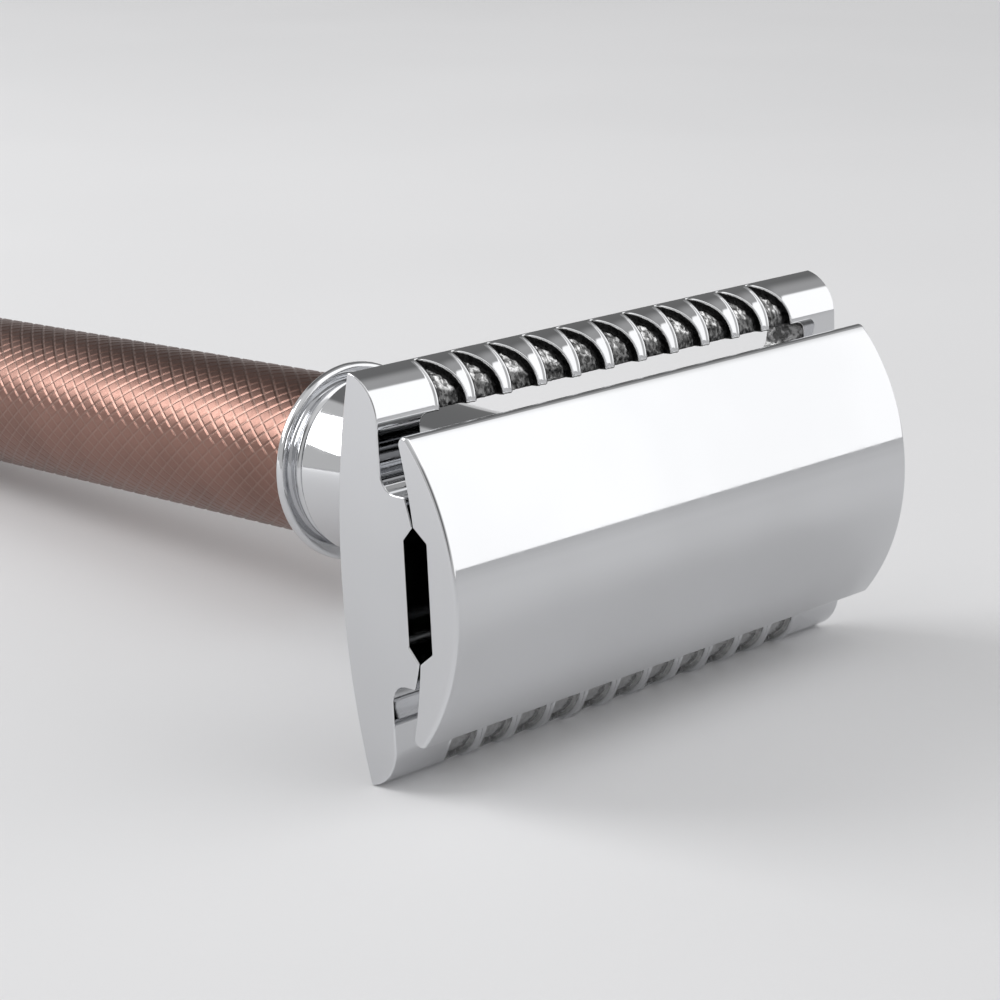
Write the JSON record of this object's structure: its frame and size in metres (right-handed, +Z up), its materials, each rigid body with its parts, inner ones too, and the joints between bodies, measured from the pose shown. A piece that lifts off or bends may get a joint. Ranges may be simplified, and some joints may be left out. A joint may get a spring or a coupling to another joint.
{
  "type": "safety razor",
  "caption": "Double-edge safety razor that unscrews into cap, scalloped guard and knurled handle, lying closed on its lower bar and the ring of its end knob.",
  "frame": {"origin": "centre of the footprint, on the floor plane that the lower bar and the knob's ring rest on", "axes": "+X towards the cap in the floor plane, +Y along the length of the head, +Z up; the razor's own axis rises 3.75 degrees from +X at the head"},
  "size_m": [0.105, 0.043, 0.0261],
  "materials": {
    "chrome": "mirror plated",
    "rose_grip": "knurled, rose anodised",
    "plain_steel": "turned",
    "brass": "turned",
    "black_rubber": "matte"
  },
  "bodies": {
    "guard": {"guard_plate": "chrome"},
    "cap": {"cap_shell": "chrome", "cap_stud": "plain_steel", "locating_pins": "plain_steel"},
    "handle": {"neck_collar": "chrome", "thread_insert": "brass", "collar_o_ring": "black_rubber", "grip_sleeve": "rose_grip", "tie_screw": "plain_steel", "lock_washer": "plain_steel", "knob_o_ring": "black_rubber", "end_knob": "chrome", "knob_plug": "chrome"}
  },
  "joints": [
    {"name": "handle_turn", "type": "hinge", "parent": "guard", "child": "handle", "pos_m": [0.04429, 0, 0.01305], "axis": [-0.9979, 0, -0.0654], "range_deg": [0, 2700]},
    {"name": "cap_lift", "type": "slide", "parent": "guard", "child": "cap", "axis": [0.9979, 0, 0.0654], "range_m": [0, 0.006]}
  ],
  "couplings": [
    {"joint": "cap_lift", "follows": "handle_turn", "m_per_rad": 0.00012732}
  ]
}
